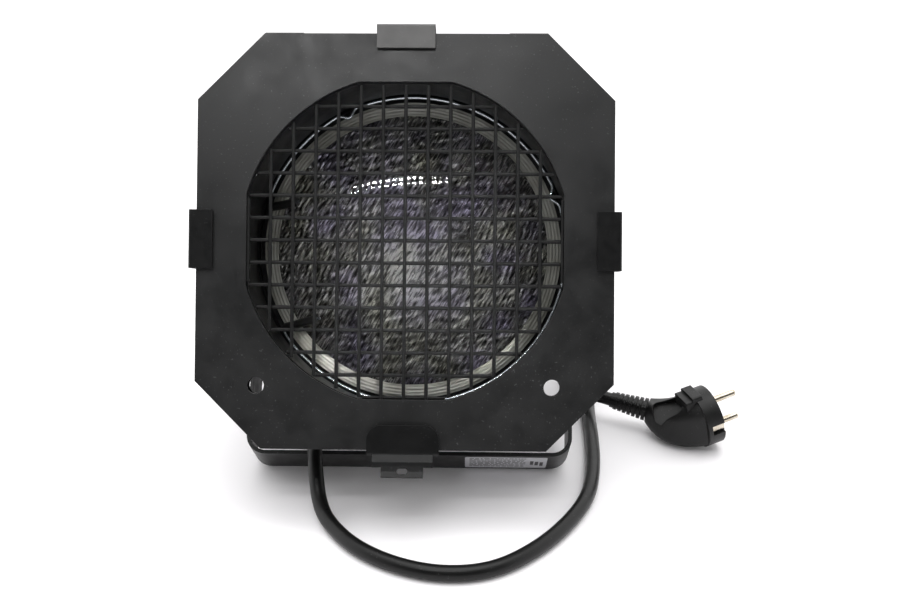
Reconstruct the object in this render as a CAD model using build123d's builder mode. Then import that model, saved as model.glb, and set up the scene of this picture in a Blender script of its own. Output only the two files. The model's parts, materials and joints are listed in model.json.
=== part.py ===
"""Par can light with a square colour frame, a swinging yoke and a mains cord.

The can lies on a table as it is put down between jobs: it rests on the rear edge of the yoke's bar
and on the lower edge of its rear housing, with its mouth turned up. Most pieces are drawn in the
can's own frame: the origin is the yoke pivot on the can's axis, local z runs forward along the
axis, local x is the row's X, and local y points up across the axis.
"""
from build123d import *
import os
from math import cos, sin, tan, radians, sqrt, pi

os.makedirs("parts", exist_ok=True)

# ---------------------------------------------------------------- driving dimensions, millimetres
TILT = 24                # mouth turned up from level, degrees
SWING = 25               # yoke leans forward of square to the can, degrees
PIVOT_Y = 24             # pivot's place behind the origin

BARREL_R = 107           # can barrel, outside
SHEET = 1.0              # spun and rolled sheet
INNER_R = BARREL_R - SHEET
BARREL_FRONT = 126
BARREL_REAR = -30
HOUSING_REAR = -124
HOUSING_EDGE = 4         # rounding of the rear edge
CONE_ANGLE = 23.2        # taper of the rear housing, degrees
RING_GROOVE_Z = 48.5     # rolled groove that the wire ring springs into
SEAM_Z = 44              # lens meets reflector

FRAME_SIZE = 250         # colour frame, side
FRAME_CORNER = 40        # its cut corners
FRAME_FRONT = 136
FRAME_DEPTH = 7          # over both leaves
LEAF = 1.0
OPENING_R = 99
OPENING_FLAT = 190       # across the flats of the opening
FRAME_HOLE = (88.4, -87.3)
FRAME_HOLE_R = 5

MESH_PITCH = 13.47
MESH_WIRE_R = 1.1
MESH_R = 97.5
MESH_TOP = 93

CLIP_SHEET = 1.2
CLIP_WIDTH = 35
CLIP_OUT = 128.6         # middle of the clip's outer wall
CLIP_LIP = 14

LAMP_R = 101.5           # PAR 64 envelope
PARABOLA = 109.5         # four times the focal length
REFLECTOR_APEX = -36
GLASS = 3

STRAP = 2.5
STRAP_WIDTH = 28
YOKE_REACH = 155         # pivot to the middle of the bar's thickness
YOKE_HALF = 109          # inner face at the pivot
BAR_HALF = 104           # inner face at the bar
BEND_R = 12

BOSS_FACE = 107.8
STUD_R = 4.0
WASHER = 1.4

CORD_R = 4.75
PIN_SPACING = 19
PIN_R = 2.4
PIN_LENGTH = 19

# ---------------------------------------------------------------- the two working frames
S, C = sin(radians(TILT)), cos(radians(TILT))
S_YOKE, C_YOKE = sin(radians(SWING)), cos(radians(SWING))

# the bar's rear outer edge stands on the table, and fixes the pivot's height
BAR_OUTER = YOKE_REACH + STRAP / 2
edge_forward = BAR_OUTER * S_YOKE - STRAP_WIDTH / 2 * C_YOKE
edge_down = BAR_OUTER * C_YOKE + STRAP_WIDTH / 2 * S_YOKE
PIVOT_Z = edge_down * C - edge_forward * S

# the rear housing is as wide at the back as lets its rounded lower edge touch the table
taper = tan(radians(CONE_ANGLE))
edge_rise = PIVOT_Z - HOUSING_EDGE + (HOUSING_REAR + HOUSING_EDGE) * S
HOUSING_BACK_R = edge_rise / C + HOUSING_EDGE * (sqrt(1 + taper ** 2) - taper)
CONE_FRONT = HOUSING_REAR + (BARREL_R - HOUSING_BACK_R) / taper

pivot = Vector(0, PIVOT_Y, PIVOT_Z)
forward = Vector(0, -C, S)
upward = Vector(0, S, C)
can = Plane(origin=pivot, x_dir=(1, 0, 0), z_dir=forward)
can_axis = Axis(pivot, forward)


def across(z):
    """Plane square to the can's axis, z ahead of the pivot."""
    return can.offset(z)


def outward(azimuth):
    """Unit vector away from the can's axis; azimuth counts from +X towards the can's top."""
    return Vector(1, 0, 0) * cos(radians(azimuth)) + upward * sin(radians(azimuth))


def radial(azimuth):
    """Plane through the can's axis: local x runs forward, local y runs outward."""
    return Plane(origin=pivot, x_dir=forward, z_dir=forward.cross(outward(azimuth)))


def at(x, y, z):
    """Point given in the can's frame."""
    return pivot + Vector(1, 0, 0) * x + upward * y + forward * z


def polar(radius, azimuth, z):
    """Point given by radius, azimuth and distance along the can."""
    return pivot + outward(azimuth) * radius + forward * z


def spoke(azimuth, z, radius):
    """Plane facing outward at this place on the can, its local x along the can."""
    return Plane(origin=polar(radius, azimuth, z), x_dir=forward, z_dir=outward(azimuth))


def save(piece, name):
    piece.part.label = name
    export_step(piece.part, f"parts/{name}.step")


# ---------------------------------------------------------------- can
with BuildPart() as can_barrel:
    with BuildSketch(radial(0)):
        with BuildLine():
            Polyline(
                (BARREL_REAR, BARREL_R), (RING_GROOVE_Z - 4, BARREL_R),
                (RING_GROOVE_Z - 2, BARREL_R + 1.2), (RING_GROOVE_Z + 2, BARREL_R + 1.2),
                (RING_GROOVE_Z + 4, BARREL_R), (BARREL_FRONT, BARREL_R),
                (BARREL_FRONT, INNER_R - 1.2), (BARREL_FRONT - 3, INNER_R - 1.2),
                (BARREL_FRONT - 3.6, INNER_R), (RING_GROOVE_Z + 4, INNER_R),
                (RING_GROOVE_Z + 2, INNER_R + 1.2), (RING_GROOVE_Z - 2, INNER_R + 1.2),
                (RING_GROOVE_Z - 4, INNER_R), (BARREL_REAR, INNER_R), close=True)
        make_face()
    revolve(axis=can_axis)
    # holes that the pivot bosses stand in
    with BuildSketch(Plane(origin=pivot, x_dir=(0, 1, 0), z_dir=(1, 0, 0))):
        Circle(9)
    extrude(amount=BARREL_R + 5, both=True, mode=Mode.SUBTRACT)
save(can_barrel, "can_barrel")

VENT_COUNT = 14
BOOT_AZIMUTH = 214
BOOT_Z = -72
boot_r = BARREL_R - (CONE_FRONT - BOOT_Z) * taper
boot_normal = (outward(BOOT_AZIMUTH) - forward * taper).normalized()
boot_foot = polar(boot_r, BOOT_AZIMUTH, BOOT_Z)
boot_plane = Plane(origin=boot_foot, x_dir=forward.cross(outward(BOOT_AZIMUTH)), z_dir=boot_normal)

with BuildPart() as rear_housing:
    with BuildSketch(radial(0)) as housing_outline:
        with BuildLine():
            Polyline(
                (-18, INNER_R - 0.2), (BARREL_REAR, INNER_R - 0.2), (BARREL_REAR, BARREL_R),
                (CONE_FRONT, BARREL_R), (HOUSING_REAR, HOUSING_BACK_R), (HOUSING_REAR, 0),
                (HOUSING_REAR + SHEET, 0), (HOUSING_REAR + SHEET, HOUSING_BACK_R - 0.7),
                (CONE_FRONT, INNER_R - 0.1), (BARREL_REAR - 1, INNER_R - 1.2),
                (-18, INNER_R - 1.2), close=True)
        make_face()
        outer_corner = housing_outline.vertices().sort_by_distance((HOUSING_REAR, HOUSING_BACK_R))[0]
        fillet(outer_corner, HOUSING_EDGE)
        inner_corner = housing_outline.vertices().sort_by_distance(
            (HOUSING_REAR + SHEET, HOUSING_BACK_R - 0.7))[0]
        fillet(inner_corner, HOUSING_EDGE - SHEET)
    revolve(axis=can_axis)
    # cooling slots in the back
    with BuildSketch(across(HOUSING_REAR - 1)):
        with PolarLocations(49, VENT_COUNT):
            SlotOverall(18, 4.5)
    extrude(amount=4, mode=Mode.SUBTRACT)
    # hole for the cord's boot
    with BuildSketch(boot_plane):
        Circle(6.7)
    extrude(amount=6, both=True, mode=Mode.SUBTRACT)
save(rear_housing, "rear_housing")

SCREW_AZIMUTHS = (90, 210, 330)
with BuildPart() as housing_screws:
    for azimuth in SCREW_AZIMUTHS:
        with BuildSketch(spoke(azimuth, -24, INNER_R - 4)):
            Circle(1.5)
        extrude(amount=4 + SHEET)
        with BuildSketch(spoke(azimuth, -24, BARREL_R)):
            Circle(3.2)
            Rectangle(4.2, 0.9, mode=Mode.SUBTRACT)
            Rectangle(0.9, 4.2, mode=Mode.SUBTRACT)
        extrude(amount=1.8)
        with BuildSketch(spoke(azimuth, -24, BARREL_R)):
            Circle(3.2)
        extrude(amount=0.8)
save(housing_screws, "housing_screws")

with BuildPart() as lamp_seat_ring:
    with BuildSketch(radial(0)):
        with BuildLine():
            Polyline(
                (41, 96), (41, INNER_R - 0.3), (29, INNER_R - 0.3), (29, INNER_R - 1.5),
                (39.8, INNER_R - 1.5), (39.8, 96), close=True)
        make_face()
    revolve(axis=can_axis)
save(lamp_seat_ring, "lamp_seat_ring")

with BuildPart() as seat_rivets:
    for azimuth in (45, 135, 225, 315):
        with BuildSketch(spoke(azimuth, 34, INNER_R - 2.6)):
            Circle(1.6)
        extrude(amount=4.6)
        with BuildSketch(spoke(azimuth, 34, BARREL_R - 0.05)):
            Circle(3)
        extrude(amount=1, taper=30)
        with BuildSketch(spoke(azimuth, 34, INNER_R - 2.6)):
            Circle(2.6)
        extrude(amount=1)
save(seat_rivets, "seat_rivets")


# ---------------------------------------------------------------- colour frame clips
LIP_Z = FRAME_FRONT + 2 + CLIP_SHEET / 2
FOOT_R = BARREL_R + 0.1 + CLIP_SHEET / 2


def frame_clip(azimuth):
    """Strip folded round the colour frame's edge, with a foot that lies along the barrel."""
    with BuildPart() as clip:
        with BuildSketch(radial(azimuth)):
            with BuildLine() as fold:
                FilletPolyline(
                    (96, FOOT_R), (127.4, FOOT_R), (127.4, CLIP_OUT), (LIP_Z, CLIP_OUT),
                    (LIP_Z, CLIP_OUT - CLIP_LIP), radius=1.2)
            trace(fold.line, line_width=CLIP_SHEET)
        extrude(amount=CLIP_WIDTH / 2, both=True)
    return clip


clip_right = frame_clip(0)
save(clip_right, "clip_right")
clip_top = frame_clip(90)
save(clip_top, "clip_top")
clip_left = frame_clip(180)
save(clip_left, "clip_left")


def barrel_rivets(azimuth, z, spread):
    """A pair of rivets through a foot and the barrel, set across the foot."""
    base = spoke(azimuth, z, INNER_R - 2)
    grip = BARREL_R + CLIP_SHEET + 0.1 - INNER_R + 2
    with BuildPart() as rivets:
        with BuildSketch(base):
            with Locations((0, -spread), (0, spread)):
                Circle(1.5)
        extrude(amount=grip)
        with BuildSketch(base.offset(grip)):
            with Locations((0, -spread), (0, spread)):
                Circle(2.8)
        extrude(amount=1, taper=30)
    return rivets.part


with BuildPart() as clip_rivets:
    for azimuth in (0, 90, 180):
        add(barrel_rivets(azimuth, 106, 9))
save(clip_rivets, "clip_rivets")

# ---------------------------------------------------------------- latch
HINGE_Z, HINGE_R = 118, 117
LATCH_WALL = 127.4
LATCH_WIDTH = 43
TAB_WIDTH = 36
TONGUE_WIDTH = 25
below = radial(270)


def folded_strip(points, width):
    """Folded strip of the latch's sheet, as wide each side of the can's middle."""
    with BuildPart() as strip:
        with BuildSketch(below):
            with BuildLine() as fold:
                FilletPolyline(*points, radius=1.2)
            trace(fold.line, line_width=CLIP_SHEET)
        extrude(amount=width / 2, both=True)
    return strip.part


def ears(inner, thickness, points, hole_r):
    """A mirrored pair of flat ears with a hinge hole."""
    with BuildPart() as pair:
        for side in (inner, -inner - thickness):
            with BuildSketch(below.offset(side)):
                with BuildLine():
                    Polyline(*points, close=True)
                make_face()
                with Locations((HINGE_Z, HINGE_R)):
                    Circle(hole_r, mode=Mode.SUBTRACT)
            extrude(amount=thickness)
    return pair.part


with BuildPart() as latch_bracket:
    with BuildSketch(below):
        with Locations((109, FOOT_R)):
            Rectangle(26, CLIP_SHEET)
    extrude(amount=12, both=True)
    add(ears(10.8, CLIP_SHEET,
             ((112, FOOT_R), (114.5, 119.5), (121.5, 119.5), (122, FOOT_R)), 1.52))
save(latch_bracket, "latch_bracket")

with BuildPart() as latch_rivets:
    add(barrel_rivets(270, 102, 7))
save(latch_rivets, "latch_rivets")

with BuildPart() as latch_pin:
    with BuildSketch(below):
        with Locations((HINGE_Z, HINGE_R)):
            Circle(1.5)
    extrude(amount=15, both=True)
    for face in (14.2, -15.4):
        with BuildSketch(below.offset(face)):
            with Locations((HINGE_Z, HINGE_R)):
                Circle(2.4)
        extrude(amount=1.2)
save(latch_pin, "latch_pin")

SPRING_R = 2.5
SPRING_WIRE = 0.45
spring_base = at(-6.5, -HINGE_R, HINGE_Z)
with BuildPart() as latch_spring:
    with BuildLine() as spring_path:
        Helix(pitch=1.3, height=13, radius=SPRING_R, center=spring_base, direction=(1, 0, 0))
    with BuildSketch(Plane(origin=spring_path.line @ 0, z_dir=spring_path.line % 0)):
        Circle(SPRING_WIRE)
    sweep()
save(latch_spring, "latch_spring")

with BuildPart() as frame_latch:
    # lip with rounded inner corners, in front of the colour frame
    with BuildSketch(across(FRAME_FRONT + 2)):
        with BuildLine():
            FilletPolyline(
                (-LATCH_WIDTH / 2, -126), (-LATCH_WIDTH / 2, -110), (LATCH_WIDTH / 2, -110),
                (LATCH_WIDTH / 2, -126), radius=9)
            Line((LATCH_WIDTH / 2, -126), (-LATCH_WIDTH / 2, -126))
        make_face()
    extrude(amount=CLIP_SHEET)
    # fold at the lip's full width, then the narrower wall under the frame
    add(folded_strip(((LIP_Z, 124), (LIP_Z, LATCH_WALL), (134, LATCH_WALL)), LATCH_WIDTH))
    with BuildSketch(below):
        with Locations(((134.5 + 113) / 2, LATCH_WALL)):
            Rectangle(134.5 - 113, CLIP_SHEET)
    extrude(amount=TAB_WIDTH / 2, both=True)
    # thumb tab and its tongue, leaning forward
    add(folded_strip(((LIP_Z, LATCH_WALL), (LIP_Z + 2.2, 131.5), (LIP_Z + 2.9, 134.5)), TAB_WIDTH))
    add(folded_strip(((LIP_Z + 2.8, 134), (LIP_Z + 3.7, 137), (LIP_Z + 5.8, 140)), TONGUE_WIDTH))
    add(ears(12.2, CLIP_SHEET,
             ((112, LATCH_WALL), (113, 113), (121, 112), (124, LATCH_WALL)), 1.56))
    # small oblong hole in the tongue
    with BuildSketch(across(LIP_Z + 12)):
        with Locations((0, -136.6)):
            SlotOverall(6.4, 3.4)
    extrude(amount=-14, mode=Mode.SUBTRACT)
save(frame_latch, "frame_latch")

# ---------------------------------------------------------------- colour frame and safety mesh
HALF = FRAME_SIZE / 2
BACK_LEAF = FRAME_FRONT - FRAME_DEPTH
FOLD_R = FRAME_DEPTH / 2
TAB_INNER, TAB_OUTER = 62, 85


def leaf(z):
    """Square sheet with cut corners, a round opening with four flats and two round holes."""
    edge = HALF - FRAME_CORNER
    top = HALF - 1
    with BuildPart() as sheet:
        with BuildSketch(across(z)):
            with BuildLine():
                Polyline(
                    (-HALF, edge - 1), (-edge, top), (edge, top), (HALF, edge - 1),
                    (HALF, -edge), (edge, -HALF), (-edge, -HALF), (-HALF, -edge), close=True)
            make_face()
            with Locations(FRAME_HOLE, (-FRAME_HOLE[0], FRAME_HOLE[1])):
                Circle(FRAME_HOLE_R, mode=Mode.SUBTRACT)
        extrude(amount=LEAF)
        with BuildSketch(across(z)):
            Circle(OPENING_R)
            Rectangle(OPENING_FLAT, OPENING_FLAT, mode=Mode.INTERSECT)
        extrude(amount=LEAF, mode=Mode.SUBTRACT)
    return sheet.part


with BuildPart() as gel_frame:
    add(leaf(FRAME_FRONT - LEAF))
    add(leaf(BACK_LEAF))
    # the two folds along the top that join the leaves
    middle = FRAME_FRONT - FOLD_R
    bend = FOLD_R - LEAF / 2
    for start in (TAB_INNER, -TAB_OUTER):
        with BuildSketch(radial(90).offset(-start)):
            with BuildLine() as fold:
                Line((middle + bend, 119), (middle + bend, HALF - 3.3))
                ThreePointArc((middle + bend, HALF - 3.3), (middle, HALF - 3.3 + bend),
                              (middle - bend, HALF - 3.3))
                Line((middle - bend, HALF - 3.3), (middle - bend, 119))
            trace(fold.line, line_width=LEAF)
        extrude(amount=-(TAB_OUTER - TAB_INNER))
save(gel_frame, "gel_frame")

UPRIGHT_Z = FRAME_FRONT - LEAF - MESH_WIRE_R + 0.05
CROSS_Z = UPRIGHT_Z - 2 * MESH_WIRE_R + 0.3
with BuildPart() as safety_mesh:
    for i in range(-7, 8):
        x = i * MESH_PITCH
        low = -sqrt(MESH_R ** 2 - x ** 2)
        high = min(-low, MESH_TOP)
        with BuildSketch(Plane(origin=at(x, low, UPRIGHT_Z), x_dir=(1, 0, 0), z_dir=upward)):
            Circle(MESH_WIRE_R)
        extrude(amount=high - low)
    for j in range(-7, 7):
        y = j * MESH_PITCH
        reach = sqrt(MESH_R ** 2 - y ** 2)
        with BuildSketch(Plane(origin=at(-reach, y, CROSS_Z), x_dir=upward, z_dir=(1, 0, 0))):
            Circle(MESH_WIRE_R)
        extrude(amount=2 * reach)
save(safety_mesh, "safety_mesh")

# ---------------------------------------------------------------- lamp
RIM_INNER = 93
RIM_OUTER = 97
CROWN_OUTER, CROWN_INNER = 59, 55


def dome_point(radius, crown, rim, rim_radius):
    """Point at a radius on the spherical dome that falls from its crown to its rim."""
    drop = crown - rim
    ball = (rim_radius ** 2 + drop ** 2) / (2 * drop)
    return (crown - ball + sqrt(ball ** 2 - radius ** 2), radius)


with BuildPart() as lamp_lens:
    with BuildSketch(radial(0)):
        with BuildLine():
            ThreePointArc((CROWN_OUTER, 0), dome_point(50, CROWN_OUTER, SEAM_Z + 3, RIM_OUTER),
                          (SEAM_Z + 3, RIM_OUTER))
            Polyline((SEAM_Z + 3, RIM_OUTER), (SEAM_Z + 3, LAMP_R - 0.6), (SEAM_Z + 2.4, LAMP_R),
                     (SEAM_Z, LAMP_R), (SEAM_Z, RIM_INNER))
            ThreePointArc((SEAM_Z, RIM_INNER), dome_point(50, CROWN_INNER, SEAM_Z, RIM_INNER),
                          (CROWN_INNER, 0))
            Line((CROWN_INNER, 0), (CROWN_OUTER, 0))
        make_face()
    revolve(axis=can_axis)
save(lamp_lens, "lamp_lens")


def parabola(z, apex):
    """Radius of the reflector at z."""
    return sqrt(PARABOLA * (z - apex))


NECK_Z = -44
NECK_R = 24
outer_apex = REFLECTOR_APEX - GLASS
with BuildPart() as lamp_reflector:
    with BuildSketch(radial(0)):
        with BuildLine():
            inside = [(z, parabola(z, REFLECTOR_APEX)) for z in (42.9, 20, 0, -18, -29, -34)]
            outside = [(z, parabola(z, outer_apex)) for z in (-33.5, -20, 0, 20, 38)]
            Spline(*inside)
            Polyline(inside[-1], (REFLECTOR_APEX, 9), (REFLECTOR_APEX, 0), (NECK_Z, 0),
                     (NECK_Z, NECK_R), outside[0])
            Spline(*outside)
            Polyline(outside[-1], (41, RIM_INNER + 3), (41, LAMP_R), (SEAM_Z, LAMP_R),
                     (SEAM_Z, inside[0][1]), inside[0])
        make_face()
    revolve(axis=can_axis)
save(lamp_reflector, "lamp_reflector")

FILAMENT_Z = -6
POST_X = 9
with BuildPart() as lamp_filament:
    with BuildLine() as coil:
        Helix(pitch=1.6, height=16, radius=2.6, center=at(-8, 0, FILAMENT_Z), direction=(1, 0, 0))
    with BuildSketch(Plane(origin=coil.line @ 0, z_dir=coil.line % 0)):
        Circle(0.4)
    sweep()
save(lamp_filament, "lamp_filament")

with BuildPart() as filament_posts:
    for side in (-1, 1):
        with BuildSketch(Plane(origin=at(side * POST_X, 0, REFLECTOR_APEX - 1), x_dir=(1, 0, 0),
                               z_dir=forward)):
            Circle(0.8)
        extrude(amount=FILAMENT_Z - REFLECTOR_APEX + 4)
save(filament_posts, "filament_posts")

BASE_REAR = -54
with BuildPart() as lamp_base:
    with BuildSketch(across(BASE_REAR)):
        Circle(23)
    extrude(amount=NECK_Z - BASE_REAR)
save(lamp_base, "lamp_base")

PRONG_GAP = 8
with BuildPart() as lamp_prongs:
    with BuildSketch(across(BASE_REAR)):
        with Locations((-PRONG_GAP, 0), (PRONG_GAP, 0)):
            Rectangle(2, 10)
    extrude(amount=-14)
save(lamp_prongs, "lamp_prongs")

# ---------------------------------------------------------------- wire ring that holds the lamp
RING_R = 104.5
RING_WIRE = 1.25
BUMPS = (21, 116, 266)
BUMP_SIZE = 5.5


def ring_point(azimuth):
    """Middle of the ring's wire, pressed in at its three bumps."""
    radius = RING_R
    for bump in BUMPS:
        if abs((azimuth + 360) % 360 - bump) < 1:
            radius = RING_R - BUMP_SIZE
    return polar(radius, azimuth, RING_GROOVE_Z)


ring_azimuths = [158, 150, 140, 130, 120, 116, 112, 102, 92, 82, 72, 62, 52, 42, 32, 25, 21, 17,
                 8, -2, -12, -22, -32, -42, -52, -62, -72, -82, -90, -94, -98, -108, -118, -128,
                 -138, -146]
with BuildPart() as retaining_ring:
    with BuildLine() as ring_path:
        FilletPolyline(
            at(-76, 31, 62), at(-88, 30, 57), at(-99, 28, RING_GROOVE_Z + 1),
            *[ring_point(azimuth) for azimuth in ring_azimuths],
            at(-88, -54, RING_GROOVE_Z + 1), at(-76, -50.5, 57), at(-61, -47, 62), radius=2)
    with BuildSketch(Plane(origin=ring_path.line @ 0, z_dir=ring_path.line % 0)):
        Circle(RING_WIRE)
    sweep()
save(retaining_ring, "retaining_ring")

SLEEVE_R = 2.9
with BuildPart() as ring_sleeves:
    for tip, root in ((at(-77, 30.9, 61.6), at(-97, 28.4, 50.8)),
                      (at(-63.5, -47.6, 61.2), at(-86, -53.4, 50.4))):
        along = (root - tip).normalized()
        with BuildSketch(Plane(origin=tip, z_dir=along)):
            Circle(SLEEVE_R)
        extrude(amount=(root - tip).length)
save(ring_sleeves, "ring_sleeves")

# ---------------------------------------------------------------- socket, wiring and terminals
SOCKET_FRONT = -57
SOCKET_REAR = -82
with BuildPart() as lamp_socket:
    with BuildSketch(across(SOCKET_FRONT)):
        RectangleRounded(44, 26, 6)
    extrude(amount=SOCKET_REAR - SOCKET_FRONT)
    with BuildSketch(across(SOCKET_FRONT)):
        with Locations((-PRONG_GAP, 0), (PRONG_GAP, 0)):
            Rectangle(6, 12)
    extrude(amount=-16, mode=Mode.SUBTRACT)
save(lamp_socket, "lamp_socket")

with BuildPart() as socket_contacts:
    for side in (-1, 1):
        with BuildSketch(across(SOCKET_FRONT - 15.9)):
            with Locations((side * (PRONG_GAP + 1.5), 0), (side * (PRONG_GAP - 1.5), 0)):
                Rectangle(0.8, 9)
        extrude(amount=13)
        with BuildSketch(across(SOCKET_FRONT - 15.9)):
            with Locations((side * PRONG_GAP, 0)):
                Rectangle(3.8, 9)
        extrude(amount=0.9)
save(socket_contacts, "socket_contacts")

BLOCK_Y = -36
BLOCK_FRONT = -108
POLES = (-10, 0, 10)
with BuildPart() as terminal_block:
    with BuildSketch(across(HOUSING_REAR + SHEET)):
        with Locations((0, BLOCK_Y)):
            Rectangle(32, 20)
    extrude(amount=BLOCK_FRONT - HOUSING_REAR - SHEET)
    with BuildSketch(across(BLOCK_FRONT)):
        with Locations(*[(x, BLOCK_Y + side * 6) for x in POLES for side in (-1, 1)]):
            Circle(2.6)
    extrude(amount=-4, mode=Mode.SUBTRACT)
save(terminal_block, "terminal_block")

with BuildPart() as terminal_screws:
    with BuildSketch(across(BLOCK_FRONT - 4)):
        with Locations(*[(x, BLOCK_Y + side * 6) for x in POLES for side in (-1, 1)]):
            Circle(2.2)
    extrude(amount=2.6)
save(terminal_screws, "terminal_screws")

EARTH_AT = (34, -36)
with BuildPart() as earth_screw:
    with BuildSketch(across(HOUSING_REAR - 1.8)):
        with Locations(EARTH_AT):
            Circle(3.4)
    extrude(amount=1.8)
    with BuildSketch(across(HOUSING_REAR)):
        with Locations(EARTH_AT):
            Circle(1.9)
    extrude(amount=9)
    with BuildSketch(across(HOUSING_REAR + 4)):
        with Locations(EARTH_AT):
            RegularPolygon(3.6, 6)
    extrude(amount=3)
save(earth_screw, "earth_screw")

LEAD_R = 1.3
ENTRY_Z = -115           # where the leads enter the block


def lead(bend, *points):
    """Insulated conductor along a bent path."""
    with BuildPart() as wire:
        with BuildLine() as path:
            FilletPolyline(*points, radius=bend)
        with BuildSketch(Plane(origin=path.line @ 0, z_dir=path.line % 0)):
            Circle(LEAD_R)
        sweep()
    return wire


lead_live = lead(5, at(-10, 0, SOCKET_REAR), at(-10, 0, -100), at(-10, -16, ENTRY_Z),
                 at(-10, BLOCK_Y + 10, ENTRY_Z))
save(lead_live, "lead_live")
lead_neutral = lead(5, at(10, 0, SOCKET_REAR), at(10, 0, -100), at(10, -16, ENTRY_Z),
                    at(10, BLOCK_Y + 10, ENTRY_Z))
save(lead_neutral, "lead_neutral")
lead_earth = lead(2, at(16, BLOCK_Y, ENTRY_Z + 2), at(27, BLOCK_Y, -109),
                  at(34, BLOCK_Y, -110), at(34, BLOCK_Y, HOUSING_REAR + 9))
save(lead_earth, "lead_earth")

# ---------------------------------------------------------------- yoke and its pivots
across_x = Plane(origin=pivot, x_dir=forward, z_dir=(1, 0, 0))
with BuildPart() as pivot_bosses:
    for side in (1, -1):
        with BuildSketch(across_x.offset(side * 101.6)):
            Circle(13)
            Circle(STUD_R + 0.05, mode=Mode.SUBTRACT)
        extrude(amount=side * 3.4)
        with BuildSketch(across_x.offset(side * 105)):
            Circle(8.9)
            Circle(STUD_R + 0.05, mode=Mode.SUBTRACT)
        extrude(amount=side * (BOSS_FACE - 105))
save(pivot_bosses, "pivot_bosses")

with BuildPart() as friction_washers:
    for side in (1, -1):
        with BuildSketch(across_x.offset(side * BOSS_FACE)):
            Circle(12)
            Circle(STUD_R + 0.3, mode=Mode.SUBTRACT)
        extrude(amount=side * (YOKE_HALF - BOSS_FACE))
save(friction_washers, "friction_washers")

reach = Vector(0, 0, 0) + forward * S_YOKE - upward * C_YOKE
yoke_plane = Plane(origin=pivot, x_dir=(1, 0, 0), z_dir=Vector(1, 0, 0).cross(-reach))
CLAMP_R = 5.5
with BuildPart() as yoke_strap:
    with BuildSketch(yoke_plane):
        with BuildLine() as strap_path:
            pivot_side = YOKE_HALF + STRAP / 2
            bar_side = BAR_HALF + STRAP / 2
            FilletPolyline(
                (-pivot_side, 15), (-pivot_side, -24), (-bar_side, -YOKE_REACH),
                (bar_side, -YOKE_REACH), (pivot_side, -24), (pivot_side, 15), radius=BEND_R)
        trace(strap_path.line, line_width=STRAP)
    extrude(amount=STRAP_WIDTH / 2, both=True)
    arm_ends = yoke_strap.edges().filter_by(Axis.X).filter_by(
        lambda edge: (edge.center() - pivot).dot(reach) < -14)
    fillet(arm_ends, STRAP_WIDTH / 2 - 0.5)
    # pivot holes and the hole for the hanging clamp's bolt
    with BuildSketch(across_x):
        Circle(STUD_R + 0.3)
    extrude(amount=YOKE_HALF + 5, both=True, mode=Mode.SUBTRACT)
    with BuildSketch(Plane(origin=pivot + reach * (YOKE_REACH - 5), x_dir=(1, 0, 0), z_dir=reach)):
        Circle(CLAMP_R)
    extrude(amount=10, mode=Mode.SUBTRACT)
save(yoke_strap, "yoke_strap")

LABEL_FROM, LABEL_TO = 37, 91
with BuildPart() as rating_label:
    with BuildSketch(Plane(origin=pivot + reach * BAR_OUTER, x_dir=(1, 0, 0), z_dir=reach)):
        with Locations(((LABEL_FROM + LABEL_TO) / 2, 0)):
            RectangleRounded(LABEL_TO - LABEL_FROM, 22, 1.5)
    extrude(amount=0.2)
save(rating_label, "rating_label")

KNOB_FACE = YOKE_HALF + STRAP + WASHER
KNOB_R = 16
KNOB_DEEP = 13
LOBES = 6


def knob_washer(side):
    """Plain steel washer between a knob and the yoke."""
    with BuildPart() as washer:
        with BuildSketch(across_x.offset(side * (YOKE_HALF + STRAP))):
            Circle(10)
            Circle(STUD_R + 0.2, mode=Mode.SUBTRACT)
        extrude(amount=side * WASHER)
    return washer


def locking_knob(side):
    """Lobed hand knob with its threaded stud."""
    with BuildPart() as knob:
        with BuildSketch(across_x.offset(side * KNOB_FACE)):
            Circle(9)
        extrude(amount=side * 4)
        with BuildSketch(across_x.offset(side * (KNOB_FACE + 3))):
            Circle(KNOB_R)
            with PolarLocations(KNOB_R + 3.2, LOBES):
                Circle(6, mode=Mode.SUBTRACT)
        extrude(amount=side * KNOB_DEEP)
        rims = knob.edges().filter_by(Axis.X, reverse=True).group_by(
            lambda edge: round(abs(edge.center().X), 2))[-1]
        fillet(rims, 1.5)
        with BuildSketch(across_x.offset(side * 99)):
            Circle(STUD_R)
        extrude(amount=side * (KNOB_FACE + 1 - 99))
    return knob


washer_right = knob_washer(1)
save(washer_right, "washer_right")
washer_left = knob_washer(-1)
save(washer_left, "washer_left")
knob_right = locking_knob(1)
save(knob_right, "knob_right")
knob_left = locking_knob(-1)
save(knob_left, "knob_left")

# ---------------------------------------------------------------- cord, its boot and its plug
BOOT_R = 6.2
boot_turn = boot_foot + boot_normal * 15
cord_start = Vector(-90, 47, 21)
with BuildPart() as cord_boot:
    with BuildLine() as boot_path:
        FilletPolyline(boot_foot - boot_normal * 3, boot_turn, cord_start, radius=11)
    with BuildSketch(Plane(origin=boot_path.line @ 0, z_dir=boot_path.line % 0)):
        Circle(BOOT_R)
    sweep()
    # collar against the housing, and bend ribs
    with BuildSketch(boot_plane.offset(0.1)):
        Circle(9)
    extrude(amount=2.2)
    rib_axis = (cord_start - boot_turn).normalized()
    for i in range(4):
        with BuildSketch(Plane(origin=cord_start - rib_axis * (2 + 3.4 * i), z_dir=rib_axis)):
            Circle(BOOT_R + 0.8)
        extrude(amount=-1.7)
save(cord_boot, "cord_boot")

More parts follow.
